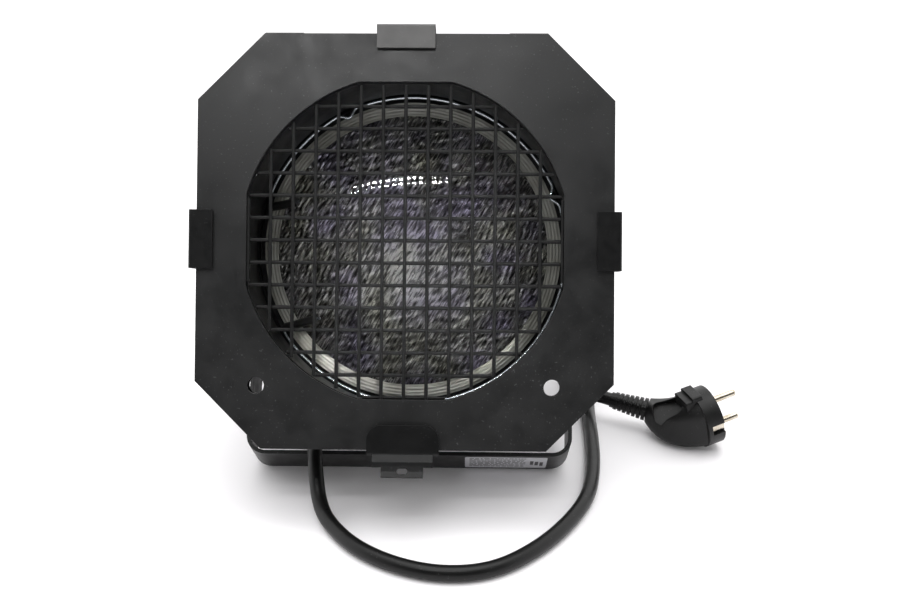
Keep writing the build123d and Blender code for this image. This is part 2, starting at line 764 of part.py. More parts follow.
FLOOR = CORD_R + 0.15
cord_route = [
    # under the can, inside the yoke
    (-90, 47, 21), (-92.5, 23, 14.2), (-90, -5, 7), (-83, -34, 5.2), (-75, -55, 9.5),
    (-69, -73, 22),
    # over the bar
    (-63.5, -89, 33), (-59.5, -111, 33),
    (-57, -127, 20.5), (-53, -142, 8), (-44.5, -158, FLOOR),
    # loop on the table in front
    (-27, -180, FLOOR), (-2, -196, FLOOR), (26, -203.5, FLOOR), (54, -199, FLOOR),
    (79, -180, FLOOR), (100, -154, FLOOR), (116.5, -123, FLOOR), (123, -89, FLOOR),
    (126, -53, FLOOR), (127, -17, FLOOR),
    # back past the yoke, round behind the can, and forward again beside the yoke
    (130, 15, FLOOR), (133.5, 49, FLOOR), (136, 85, FLOOR), (139, 118, FLOOR),
    (147, 148, FLOOR), (159, 178, FLOOR), (166, 208, FLOOR), (160, 237, FLOOR),
    (139, 256, FLOOR), (112, 254, FLOOR), (94, 233, FLOOR), (91, 204, FLOOR),
    (101, 176, FLOOR), (113, 150, FLOOR), (118.5, 121, FLOOR), (119, 90, FLOOR),
    (118, 58, FLOOR), (117.5, 28, 6.5),
    # over its own first pass and into the plug
    (117.3, 6, 14), (122.6, -6.5, 18.2), (132.4, -15.9, 19.4), (142.6, -19.8, 18.2),
]


def bend_radii(route):
    """The largest arc that each corner's two runs leave room for."""
    radii = []
    for before, corner, after in zip(route, route[1:], route[2:]):
        run_in = Vector(*corner) - Vector(*before)
        run_out = Vector(*after) - Vector(*corner)
        turn = radians(run_in.get_angle(run_out))
        radii.append(0.45 * min(run_in.length, run_out.length) / tan(turn / 2))
    return radii


cord_radii = bend_radii(cord_route)
print("cord bend radii, mm:", [round(radius) for radius in cord_radii])
with BuildPart() as power_cord:
    with BuildLine() as cord_path:
        FilletPolyline(*cord_route, radius=cord_radii)
    with BuildSketch(Plane(origin=cord_path.line @ 0, z_dir=cord_path.line % 0)):
        Circle(CORD_R)
    sweep()
cord_length = sum(edge.length for edge in cord_path.edges())
print("cord length, mm:", round(cord_length))
print("tube volume over section times length:",
      round(power_cord.part.volume / (pi * CORD_R ** 2 * cord_length), 4))
save(power_cord, "power_cord")

relief_start = Vector(142.6, -19.8, 18.2)
relief_axis = Vector(0.93, -0.35, -0.11).normalized()
RELIEF_LENGTH = 27
body_start = relief_start + relief_axis * RELIEF_LENGTH
flange_axis = Vector(0.93, 0.28, 0.24).normalized()
FLANGE_R = 20.5
flange_back = Vector(197, -49.8, FLANGE_R * sqrt(1 - flange_axis.Z ** 2) + 0.1)
toward_viewer = flange_axis.cross(Vector(0, 0, 1)).normalized()
flange_plane = Plane(origin=flange_back, x_dir=toward_viewer, z_dir=flange_axis)

with BuildPart() as plug_relief:
    with BuildSketch(Plane(origin=relief_start, z_dir=relief_axis)):
        Circle(5.6)
    extrude(amount=RELIEF_LENGTH)
    for i in range(7):
        with BuildSketch(Plane(origin=body_start - relief_axis * (1 + 3.5 * i), z_dir=relief_axis)):
            Circle(8.2 - 0.3 * i)
        extrude(amount=-2.2)
save(plug_relief, "plug_relief")

neck_plane = Plane(origin=body_start, x_dir=relief_axis.cross(Vector(0, 0, 1)), z_dir=relief_axis)
waist_axis = Vector(0.96, -0.1, 0.05).normalized()
waist_plane = Plane(origin=(184, -45, 15.5), x_dir=waist_axis.cross(Vector(0, 0, 1)), z_dir=waist_axis)
grip_normal = Vector(-0.3, -0.35, 0.88).normalized()
grip_plane = Plane(origin=(180, -44, 20.5), x_dir=(1, -0.15, 0.28), z_dir=grip_normal)
EARTH_SLOT = (5, 7)
PLUG_FACE = 13
with BuildPart() as plug_body:
    with BuildSketch(neck_plane):
        RectangleRounded(16, 16, 6)
    with BuildSketch(waist_plane):
        RectangleRounded(29, 29, 8)
    with BuildSketch(flange_plane):
        RectangleRounded(34, 36, 12)
    loft()
    # scooped grip, with a stepped ridge between it and the flange
    with BuildSketch(grip_plane):
        RectangleRounded(21, 19, 5)
    extrude(amount=20, mode=Mode.SUBTRACT)
    with BuildSketch(flange_plane):
        Circle(FLANGE_R)
    extrude(amount=PLUG_FACE - 1)
    with BuildSketch(flange_plane.offset(-3)):
        with Locations((-1, 2.5 - FLANGE_R)):
            RectangleRounded(18, 8, 2)
    extrude(amount=7)
    with BuildSketch(flange_plane.offset(-8)):
        with Locations((-1, 4.5 - FLANGE_R)):
            RectangleRounded(18, 8, 2)
    extrude(amount=6)
    with BuildSketch(flange_plane.offset(PLUG_FACE - 1)):
        Circle(17)
    extrude(amount=1)
    with BuildSketch(flange_plane.offset(3)):
        with Locations((FLANGE_R - 1, 0), (1 - FLANGE_R, 0)):
            Rectangle(*EARTH_SLOT)
    extrude(amount=12, mode=Mode.SUBTRACT)
save(plug_body, "plug_body")

with BuildPart() as plug_pins:
    with BuildSketch(flange_plane.offset(PLUG_FACE)):
        with Locations((0, PIN_SPACING / 2), (0, -PIN_SPACING / 2)):
            Circle(PIN_R)
    extrude(amount=PIN_LENGTH)
    tips = plug_pins.faces().filter_by(
        lambda face: (face.center() - flange_back).dot(flange_axis) > PLUG_FACE + PIN_LENGTH - 0.1)
    fillet(tips.edges(), 1.6)
save(plug_pins, "plug_pins")

with BuildPart() as plug_earth_clips:
    with BuildSketch(flange_plane.offset(3)):
        with Locations((FLANGE_R - 3.1, 0), (3.1 - FLANGE_R, 0)):
            Rectangle(0.8, 4)
    extrude(amount=9.5)
save(plug_earth_clips, "plug_earth_clips")
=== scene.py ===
"""Looks of the par can light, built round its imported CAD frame. Metres, in the CAD's own frame."""
import json
import random
from math import cos, pi, radians, sin, sqrt

import bmesh
import bpy
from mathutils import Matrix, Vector, noise


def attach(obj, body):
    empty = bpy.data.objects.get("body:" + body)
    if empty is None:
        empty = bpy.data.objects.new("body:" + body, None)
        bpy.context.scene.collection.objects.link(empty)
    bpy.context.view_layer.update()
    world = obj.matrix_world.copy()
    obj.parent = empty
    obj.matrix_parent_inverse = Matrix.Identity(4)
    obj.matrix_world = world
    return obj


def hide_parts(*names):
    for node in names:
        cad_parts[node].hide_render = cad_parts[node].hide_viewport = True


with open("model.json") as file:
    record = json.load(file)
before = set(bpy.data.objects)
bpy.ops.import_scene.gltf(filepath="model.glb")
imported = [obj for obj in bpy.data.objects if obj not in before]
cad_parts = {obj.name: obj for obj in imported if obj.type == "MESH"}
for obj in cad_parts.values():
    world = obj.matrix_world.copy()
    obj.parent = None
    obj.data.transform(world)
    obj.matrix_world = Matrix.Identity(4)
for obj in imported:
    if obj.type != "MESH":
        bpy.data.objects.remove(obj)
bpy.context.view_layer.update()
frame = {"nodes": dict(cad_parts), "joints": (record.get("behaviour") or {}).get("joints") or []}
scene = bpy.context.scene
nodes = frame["nodes"]
random.seed(64)

# ------------------------------------------------------------ the can's own frame
MM = 0.001
TILT = radians(24)             # how far the can looks up
SWING = radians(25)            # how far the yoke stands forward of the can's cross plane
joint_places = {joint["name"]: joint["pos_m"] for joint in frame["joints"] if "pos_m" in joint}
pivot = Vector(joint_places["yoke_tilt"])
forward = Vector((0, -cos(TILT), sin(TILT)))
upward = Vector((0, sin(TILT), cos(TILT)))
sideways = Vector((1, 0, 0))
reach = forward * sin(SWING) - upward * cos(SWING)             # from the pivot to the yoke's bar
strap_across = forward * cos(SWING) + upward * sin(SWING)      # over the width of that bar


def at(x, y, z):
    """Point given in the can's frame, in millimetres."""
    return pivot + (sideways * x + upward * y + forward * z) * MM


# ------------------------------------------------------------ camera
camera_data = bpy.data.cameras.new("camera")
camera_data.lens = 40.3
camera_data.shift_x = 0.0013
camera_data.sensor_width = 36
camera = bpy.data.objects.new("camera", camera_data)
scene.collection.objects.link(camera)
camera.location = at(38.1, -45, 736)
line_of_sight = at(26.7, -35.4, 136) - camera.location
camera.rotation_euler = line_of_sight.to_track_quat("-Z", "Y").to_euler()
scene.camera = camera

# ------------------------------------------------------------ power cord
CORD_R = 0.00475
ON_TABLE = 4.9                 # height of the cord's middle where it lies on the table
ROUND_TUBE = 6                 # bevel resolution
CORD_ROUTE = [                 # millimetres
    # under the can, inside the yoke
    (-90, 47, 21), (-92.5, 23, 14.2), (-90, -5, 7), (-83, -34, 5.2), (-75, -55, 9.5),
    (-69, -73, 22),
    # over the bar
    (-63.5, -89, 33), (-59.5, -111, 33),
    (-57, -127, 20.5), (-53, -142, 8), (-44.5, -158, ON_TABLE),
    # loop on the table in front
    (-27, -180, ON_TABLE), (-2, -196, ON_TABLE), (26, -203.5, ON_TABLE), (54, -199, ON_TABLE),
    (79, -180, ON_TABLE), (100, -154, ON_TABLE), (116.5, -123, ON_TABLE), (123, -89, ON_TABLE),
    (126, -53, ON_TABLE), (127, -17, ON_TABLE),
    # back past the yoke, round behind the can, and forward again beside the yoke
    (130, 15, ON_TABLE), (133.5, 49, ON_TABLE), (136, 85, ON_TABLE), (139, 118, ON_TABLE),
    (147, 148, ON_TABLE), (159, 178, ON_TABLE), (166, 208, ON_TABLE), (160, 237, ON_TABLE),
    (139, 256, ON_TABLE), (112, 254, ON_TABLE), (94, 233, ON_TABLE), (91, 204, ON_TABLE),
    (101, 176, ON_TABLE), (113, 150, ON_TABLE), (118.5, 121, ON_TABLE), (119, 90, ON_TABLE),
    (118, 58, ON_TABLE), (117.5, 28, 6.5),
    # over its own first pass and into the plug
    (117.3, 6, 14), (122.6, -6.5, 18.2), (132.4, -15.9, 19.4), (142.6, -19.8, 18.2),
]
cord_curve = bpy.data.curves.new("mains_cord", "CURVE")
cord_curve.dimensions = "3D"
cord_curve.bevel_depth = 1.0        # each point's radius gives the real thickness
cord_curve.bevel_resolution = ROUND_TUBE
cord_curve.resolution_u = 16
cord_curve.use_fill_caps = True
cord_line = cord_curve.splines.new("NURBS")
cord_line.points.add(len(CORD_ROUTE) - 1)
for point, place in zip(cord_line.points, CORD_ROUTE):
    point.co = (*(value * MM for value in place), 1)
    point.radius = CORD_R
cord_line.order_u = 3
cord_line.use_endpoint_u = True
mains_cord = bpy.data.objects.new("mains_cord", cord_curve)
scene.collection.objects.link(mains_cord)
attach(mains_cord, "can")
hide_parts("power_cord")


# ------------------------------------------------------------ material tools
def put(tree, kind, values=None, **settings):
    """New shader node; values may be numbers, colours or the sockets of other nodes."""
    made = tree.nodes.new("ShaderNode" + kind)
    for key, value in settings.items():
        setattr(made, key, value)
    for key, value in (values or {}).items():
        if isinstance(value, bpy.types.NodeSocket):
            tree.links.new(value, made.inputs[key])
        else:
            made.inputs[key].default_value = value
    return made


def rgb(grey, blue_shift=0.0):
    """Grey with a slight cool or warm cast."""
    return (grey * (1 - blue_shift), grey, grey * (1 + blue_shift), 1)


def ramp(tree, factor, *stops):
    """Colour ramp; each stop is (position, grey or colour)."""
    made = put(tree, "ValToRGB", {"Fac": factor})
    elements = made.color_ramp.elements
    while len(elements) < len(stops):
        elements.new(0.5)
    for element, (position, tone) in zip(elements, stops):
        element.position = position
        element.color = tone if isinstance(tone, tuple) else (tone, tone, tone, 1)
    return made.outputs["Color"]


def mixed(tree, factor, first, second):
    """Mix of two colours; the Mix node's colour sockets are reached by their index."""
    made = tree.nodes.new("ShaderNodeMix")
    made.data_type = "RGBA"
    for index, value in ((0, factor), (6, first), (7, second)):
        if isinstance(value, bpy.types.NodeSocket):
            tree.links.new(value, made.inputs[index])
        else:
            made.inputs[index].default_value = value
    return made.outputs[2]


def grain(tree, place, scale, detail=2.0, roughness=0.5):
    """Noise, 0 to 1; scale is its number of grains to the metre."""
    return put(tree, "TexNoise", {"Vector": place, "Scale": scale, "Detail": detail,
                                  "Roughness": roughness}).outputs["Fac"]


FINE_TO_BROAD = 4.3            # scale of the roughness pattern over that of the mottle
DUST_COLOUR = rgb(0.4)
RUBBED_EDGE = rgb(0.3)         # bare metal that shows at handled edges


def finish(name, colour, rough, metal=0.0, mottle=0.15, mottle_scale=14, rough_swing=0.06,
           bump_scale=900, bump=0.1, bump_depth=0.0002, dust=0.0, worn=None, bevel=0.0,
           tint=None, stretch=(1, 1, 1), **sockets):
    """Surface with mottled colour and roughness, fine relief, dust specks and worn edges.

    mottle is the share by which the colour swings, worn is (amount, colour) for the edges, and
    any further keyword sets the shader's socket of that name.
    """
    made = bpy.data.materials.new(name)
    made.use_nodes = True
    tree = made.node_tree
    shade = tree.nodes["Principled BSDF"]
    place = put(tree, "TexCoord").outputs["Object"]
    stretched = put(tree, "Mapping", {"Vector": place, "Scale": stretch}).outputs["Vector"]
    broad = grain(tree, stretched, mottle_scale, 3)
    dark = tuple(value * (1 - mottle) for value in colour[:3]) + (1,)
    light = tuple(min(1, value * (1 + mottle)) for value in (tint or colour)[:3]) + (1,)
    shown = ramp(tree, broad, (0.3, dark), (0.7, light))
    if dust:
        speck = ramp(tree, grain(tree, place, 900, 0), (0.76, 0.0), (0.82, dust))
        cloud = ramp(tree, grain(tree, place, 9, 4), (0.42, 0.25), (0.7, 1.0))
        amount = put(tree, "Math", {0: speck, 1: cloud}, operation="MULTIPLY").outputs[0]
        shown = mixed(tree, amount, shown, DUST_COLOUR)
    if worn:
        pointy = put(tree, "NewGeometry").outputs["Pointiness"]
        patchy = grain(tree, place, 160, 3)
        edge = ramp(tree, put(tree, "Math", {0: pointy, 1: patchy, 2: -0.25},
                              operation="MULTIPLY_ADD").outputs[0], (0.3, 0.0), (0.36, 1.0))
        edge_amount = put(tree, "Math", {0: edge, 1: worn[0]}, operation="MULTIPLY").outputs[0]
        shown = mixed(tree, edge_amount, shown, worn[1])
    tree.links.new(shown, shade.inputs["Base Color"])
    fine = grain(tree, place, mottle_scale * FINE_TO_BROAD, 5, 0.62)
    tree.links.new(ramp(tree, fine, (0.3, rough - rough_swing), (0.72, rough + rough_swing)),
                   shade.inputs["Roughness"])
    shade.inputs["Metallic"].default_value = metal
    relief_from = put(tree, "Mapping", {"Vector": place, "Scale": stretch}).outputs["Vector"]
    relief = put(tree, "Bump", {"Strength": bump, "Distance": bump_depth,
                                "Height": grain(tree, relief_from, bump_scale, 2)})
    if bevel:
        rounded = put(tree, "Bevel", {"Radius": bevel}, samples=4)
        tree.links.new(rounded.outputs["Normal"], relief.inputs["Normal"])
    tree.links.new(relief.outputs["Normal"], shade.inputs["Normal"])
    for key, value in sockets.items():
        shade.inputs[key.replace("_", " ")].default_value = value
    return made


black_paint = finish("black_paint", rgb(0.0065, 0.03), 0.42, mottle=0.12, mottle_scale=11,
                     rough_swing=0.1, bump_scale=1500, bump=0.16, bump_depth=0.00015,
                     dust=0.12, worn=(0.35, rgb(0.08)), bevel=0.0004)
black_wire = finish("black_wire_paint", rgb(0.004, 0.02), 0.5, mottle_scale=30,
                    bump_scale=1800, bump=0.15, dust=0.06, Specular_IOR_Level=0.25)
worn_paint = finish("worn_paint", rgb(0.004, 0.03), 0.4, mottle_scale=40, rough_swing=0.08,
                    bump_scale=1200, bump=0.15, dust=0.07, worn=(0.6, RUBBED_EDGE), bevel=0.0004,
                    Specular_IOR_Level=0.22)
zinc = finish("zinc_steel", rgb(0.46, 0.04), 0.3, metal=1.0, mottle_scale=60,
              rough_swing=0.09, bump_scale=700, bump=0.12)
wire_steel = finish("ring_steel", rgb(0.8, 0.07), 0.22, metal=1.0, mottle_scale=50,
                    rough_swing=0.06, bump_scale=1200, bump=0.08)
nickel = finish("nickel_brass", (0.5, 0.43, 0.32, 1), 0.24, metal=1.0, mottle_scale=90,
                rough_swing=0.07, bump_scale=1600, bump=0.08, tint=(0.56, 0.52, 0.45, 1))
porcelain = finish("porcelain", (0.72, 0.7, 0.64, 1), 0.62, mottle=0.05, mottle_scale=60,
                   bump_scale=1400, bump=0.2)
rubber = finish("black_rubber", rgb(0.005), 0.34, mottle_scale=24, rough_swing=0.07,
                bump_scale=1300, bump=0.2, dust=0.12, Specular_IOR_Level=0.25)
sleeve = finish("sleeve_rubber", rgb(0.009), 0.5, mottle_scale=80, bump_scale=2000, bump=0.2)
brown_wire = finish("lead_brown", (0.11, 0.04, 0.018, 1), 0.45, mottle_scale=80)
blue_wire = finish("lead_blue", (0.02, 0.08, 0.32, 1), 0.45, mottle_scale=80)
plug_plastic = finish("plug_plastic", rgb(0.0065), 0.44, mottle_scale=30, rough_swing=0.07,
                      bump_scale=1700, bump=0.3, dust=0.1, bevel=0.0006, Specular_IOR_Level=0.3)
knob_plastic = finish("knob_plastic", rgb(0.014), 0.5, mottle_scale=60, bump_scale=900,
                      bump=0.5, bump_depth=0.0003, worn=(0.4, rgb(0.06)))
fibre = finish("fibre", (0.06, 0.03, 0.018, 1), 0.7, mottle_scale=120, bump_scale=900,
               bump=0.5)
foil = finish("label_foil", (0.62, 0.62, 0.65, 1), 0.34, mottle=0.05, mottle_scale=120,
              bump_scale=500, bump=0.12)
ink = finish("label_ink", rgb(0.05), 0.5, mottle=0.3, mottle_scale=300)
tungsten = finish("tungsten", rgb(0.3), 0.4, metal=1.0, mottle_scale=200, bump_scale=3000)


EARTH_GREEN = (0.05, 0.22, 0.03, 1)
EARTH_YELLOW = (0.6, 0.5, 0.03, 1)


def striped_earth():
    """Green lead with a yellow stripe that winds along it."""
    made = finish("lead_green", EARTH_GREEN, 0.45, mottle_scale=80)
    tree = made.node_tree
    shade = tree.nodes["Principled BSDF"]
    place = put(tree, "TexCoord").outputs["Object"]
    bands = put(tree, "TexWave", {"Vector": place, "Scale": 60.0, "Distortion": 1.5})
    stripe = ramp(tree, bands.outputs["Fac"], (0.5, 0.0), (0.56, 1.0))
    tree.links.new(mixed(tree, stripe, EARTH_GREEN, EARTH_YELLOW), shade.inputs["Base Color"])
    return made


green_wire = striped_earth()


def lamp_glass():
    """Clear pressed glass, a little olive and violet in patches."""
    made = bpy.data.materials.new("lamp_glass")
    made.use_nodes = True
    tree = made.node_tree
    shade = tree.nodes["Principled BSDF"]
    place = put(tree, "TexCoord").outputs["Object"]
    tone = ramp(tree, grain(tree, place, 38, 3), (0.38, (0.93, 0.93, 0.88, 1)),
                (0.5, (0.95, 0.95, 0.94, 1)), (0.64, (0.9, 0.88, 0.97, 1)))
    tree.links.new(tone, shade.inputs["Base Color"])
    tree.links.new(ramp(tree, grain(tree, place, 90, 3), (0.5, 0.0), (0.75, 0.05)),
                   shade.inputs["Roughness"])
    shade.inputs["Transmission Weight"].default_value = 1.0
    shade.inputs["IOR"].default_value = 1.5
    return made


glass = lamp_glass()
mirror = finish("aluminised", (0.66, 0.66, 0.65, 1), 0.14, metal=1.0, mottle=0.12,
                mottle_scale=45, rough_swing=0.07, bump_scale=160, bump=0.5, bump_depth=0.0006,
                tint=(0.66, 0.64, 0.74, 1))


STREAK_LEAN = radians(28)      # lean of the fine painted streaks of reflection in the pressed glass
PAINTED_HIGHLIGHT_MIDDLE = at(-2, -17, 50)    # middle of the bright patch on the lens: a highlight painted into the lens's colour, with the small spot light also aimed here
OLIVE_TONE = (0.66, 0.66, 0.58, 1)
PLAIN_TONE = (0.7, 0.7, 0.71, 1)
VIOLET_TONE = (0.66, 0.62, 0.8, 1)
PAINTED_HIGHLIGHT_WOBBLE = 0.036            # metres by which noise shifts the patch's edge
PAINTED_HIGHLIGHT_SCALE = 10.0              # the patch's ramp runs over 0.1 m
PAINTED_HIGHLIGHT_GAIN = 2.2                # painted highlight: extra light painted in at the core, over the rest's 1
STREAKS = 850                  # painted streaks of reflection to the metre
TURNED_LINES = 2800.0          # radians to the metre of the rim's fine rings


def prism_field():
    """Pressed prisms with the aluminised bowl behind, its reflection painted into the colour: a
    painted highlight over its middle, tinted outside.
    """
    made = bpy.data.materials.new("prism_field")
    made.use_nodes = True
    tree = made.node_tree
    shade = tree.nodes["Principled BSDF"]
    place = put(tree, "TexCoord").outputs["Object"]
    # painted highlight: colour, gain, roughness and metal change with the distance from a fixed
    # point of the lens
    from_core = put(tree, "VectorMath", {0: place, 1: PAINTED_HIGHLIGHT_MIDDLE}, operation="DISTANCE")
    wobble = put(tree, "Math", {0: grain(tree, place, 60, 4), 1: PAINTED_HIGHLIGHT_WOBBLE,
                                2: from_core.outputs["Value"]}, operation="MULTIPLY_ADD")
    painted_core = ramp(tree, put(tree, "Math", {0: wobble.outputs[0], 1: PAINTED_HIGHLIGHT_SCALE},
                          operation="MULTIPLY").outputs[0],
                (0.2, 1.0), (0.36, 0.3), (0.6, 0.0))
    tone = ramp(tree, grain(tree, place, 34, 3), (0.36, OLIVE_TONE), (0.5, PLAIN_TONE),
                (0.62, VIOLET_TONE))
    bright = mixed(tree, painted_core, tone, rgb(1.0))
    # painted reflection and shade, stored on the lens's points
    share = put(tree, "Attribute", attribute_name="painted_reflection_tone").outputs["Fac"]
    leaning = put(tree, "VectorRotate", {"Vector": place, "Axis": forward,
                                         "Angle": STREAK_LEAN})
    drawn_out = put(tree, "Mapping", {"Vector": leaning.outputs["Vector"],
                                      "Scale": (1, 0.15, 0.15)})
    # painted streaks of reflection that dim the colour
    painted_streaks = ramp(tree, grain(tree, drawn_out.outputs["Vector"], STREAKS, 2, 0.6),
                 (0.42, 0.3), (0.55, 0.75), (0.66, 1.0))
    gain = put(tree, "Math", {0: painted_core, 1: PAINTED_HIGHLIGHT_GAIN, 2: 1.0},
               operation="MULTIPLY_ADD").outputs[0]
    lifted = put(tree, "Math", {0: share, 1: gain}, operation="MULTIPLY").outputs[0]
    shown_share = put(tree, "Math", {0: lifted, 1: painted_streaks}, operation="MULTIPLY").outputs[0]
    kept = ramp(tree, shown_share, (0.0, 0.03), (0.22, 0.5), (0.42, 1.0))
    dimmed = put(tree, "VectorMath", {0: bright, 1: kept}, operation="MULTIPLY")
    tree.links.new(dimmed.outputs["Vector"], shade.inputs["Base Color"])
    tree.links.new(ramp(tree, painted_core, (0.0, 0.12), (1.0, 0.35)), shade.inputs["Roughness"])
    relief = put(tree, "Bump", {"Strength": 0.5, "Distance": 0.0004,
                                "Height": grain(tree, place, 700, 3)})
    tree.links.new(relief.outputs["Normal"], shade.inputs["Normal"])
    tree.links.new(ramp(tree, painted_core, (0.0, 0.55), (1.0, 0.05)), shade.inputs["Metallic"])
    return made


def rim_glass():
    """Thick smooth glass round the prisms, grey-green with fine turned lines."""
    made = finish("rim_glass", (0.28, 0.28, 0.24, 1), 0.22, mottle=0.25, mottle_scale=26,
                  rough_swing=0.08, bump_scale=300, bump=0.1, tint=(0.38, 0.38, 0.35, 1))
    tree = made.node_tree
    shade = tree.nodes["Principled BSDF"]
    place = put(tree, "TexCoord").outputs["Object"]
    from_axis = put(tree, "VectorMath", {0: place, 1: at(0, 0, 49)}, operation="DISTANCE")
    turned = put(tree, "Math", {0: from_axis.outputs["Value"], 1: TURNED_LINES},
                 operation="MULTIPLY")
    wave = put(tree, "Math", {0: turned.outputs[0]}, operation="SINE")
    relief = put(tree, "Bump", {"Strength": 0.6, "Distance": 0.0004, "Height": wave.outputs[0]})
    tree.links.new(relief.outputs["Normal"], shade.inputs["Normal"])
    shade.inputs["Coat Weight"].default_value = 0.6
    return made


prisms = prism_field()
rim_look = rim_glass()
# the top clip's lighter grey is a painted sheen where its face tilts up to the light; its rubbed
# edges are wear
painted_sheen_rubbed_paint = finish("rubbed_paint_painted_sheen", rgb(0.045, -0.02), 0.42, mottle=0.2, mottle_scale=40,
                    bump_scale=1200, bump=0.15, dust=0.1, worn=(0.6, RUBBED_EDGE), bevel=0.0004)

LOOKS = {
    black_paint: ["can_barrel", "rear_housing", "lamp_seat_ring", "gel_frame", "yoke_strap",
                  "latch_bracket"],
    black_wire: ["safety_mesh"],
    worn_paint: ["clip_left", "clip_right", "frame_latch"],
    painted_sheen_rubbed_paint: ["clip_top"],
    zinc: ["housing_screws", "seat_rivets", "clip_rivets", "latch_rivets", "latch_pin",
           "latch_spring", "terminal_screws", "earth_screw", "pivot_bosses", "washer_right",
           "washer_left"],
    wire_steel: ["retaining_ring"],
    nickel: ["lamp_prongs", "socket_contacts", "plug_pins", "plug_earth_clips"],
    porcelain: ["lamp_base", "lamp_socket", "terminal_block"],
    rubber: ["power_cord", "cord_boot", "plug_relief"],
    sleeve: ["ring_sleeves"],
    brown_wire: ["lead_live"],
    blue_wire: ["lead_neutral"],
    green_wire: ["lead_earth"],
    plug_plastic: ["plug_body"],
    knob_plastic: ["knob_right", "knob_left"],
    fibre: ["friction_washers"],
    foil: ["rating_label"],
    tungsten: ["lamp_filament", "filament_posts"],
    glass: ["lamp_lens"],
    mirror: ["lamp_reflector"],
}
for look, names in LOOKS.items():
    for name in names:
        nodes[name].data.materials.clear()
        nodes[name].data.materials.append(look)
mains_cord.data.materials.append(rubber)


# ------------------------------------------------------------ stippled lens
# Millimetres in the can's frame.
LENS_FIELD = 92.0        # radius of the stippled field
FIELD_FADE = 3           # width over which the stipple dies out at the field's edge
RIM_RADIUS = 97.0        # where the dome meets the flange
FLANGE_RADIUS = 101.5
SEAM = 44.0              # height at which the lens meets the reflector
CROWN = 59               # outer face at the axis
INNER_CROWN = 55
INNER_RADIUS = 94        # of the inner dome, at the seam
OUTER_RADII = (3, 8, 14, 20, 26, 32, 38, 44, 50, 56, 62, 68, 74, 80, 85, LENS_FIELD)
RIPPLES = 10             # fine steps from the field's edge out to the rim
RIPPLE_PITCH = 0.5
RIPPLE_DEPTH = 0.16
AROUND = 300             # points in each ring of the dome
STEP = 0.75              # square grid of the inner face
ROW_PITCH = 6.4          # rows of pressed lozenges
CELL_PITCH = 4.6         # lozenges along a row
ROW_SLOPE = 0.18         # fall of the rows across the lens
LEAN = 0.62              # sideways lean of a lozenge per height
GLASS, PRISMS, RIM = 0, 1, 2     # material slots of the lens


def dome(radius, crown, rim, rim_radius):
    """Height of a spherical dome at a radius."""
    drop = crown - rim
    ball = (rim_radius ** 2 + drop ** 2) / (2 * drop)
    return crown - ball + sqrt(ball ** 2 - radius ** 2)


def lozenge_at(x, y):
    """How far into a leaning lozenge this place is, and that lozenge's own random number."""
    wander = noise.noise(Vector((x * 0.05, y * 0.05, 3.0)))
    y_row = (y + wander * 5 - ROW_SLOPE * x) / ROW_PITCH
    row = int(y_row // 1)
    lean = (y_row % 1 - 0.5) * ROW_PITCH * LEAN
    x_cell = (x - lean + (0.5 if row % 2 else 0.0) * CELL_PITCH + wander * 4) / CELL_PITCH
    u, v = (x_cell % 1) - 0.5, (y_row % 1) - 0.5
    seed = noise.noise(Vector((int(x_cell // 1) * 7.31, row * 5.17, 1.0)))
    return max(0.0, 1 - (abs(u) * 2.5) ** 1.6 - (abs(v) * 2.1) ** 2), seed


def stipple(x, y):
    """Height of the pressed pattern: leaning lozenges with finer ribs between them."""
    lozenge, seed = lozenge_at(x, y)
    ribs = noise.noise(Vector(((x - LEAN * y) * 0.9, y * 0.16, 5.0)))
    rough = noise.noise(Vector((x * 0.5, y * 0.5, 8.0)))
    return (0.6 + 0.5 * seed) * lozenge + 0.5 * ribs + 0.16 * rough


def painted_reflection_tone(x, y):
    """Share of light that this place sends back, painted into the colour: streaks, dark lozenges and
    swirls of painted reflection and shade, and small painted glints.
    """
    lozenge, seed = lozenge_at(x, y)
    streak = 0.5 + 0.9 * noise.noise(Vector(((x - LEAN * y) * 1.15, y * 0.2, 11.0)))
    swirl = 0.5 + 0.8 * noise.noise(Vector((x * 0.035 + y * 0.02, y * 0.07 - x * 0.02, 20.0)))
    tone = max(0.0, streak) ** 1.5 * (0.35 + 0.9 * max(0.0, swirl))
    if seed > -0.05:
        tone *= 1 - 0.8 * lozenge
    # small painted glints
    painted_glint = noise.noise(Vector((x * 1.9, y * 1.9, 30.0)))
    return min(1.0, max(0.03, tone) + (0.5 if painted_glint > 0.52 else 0.0))


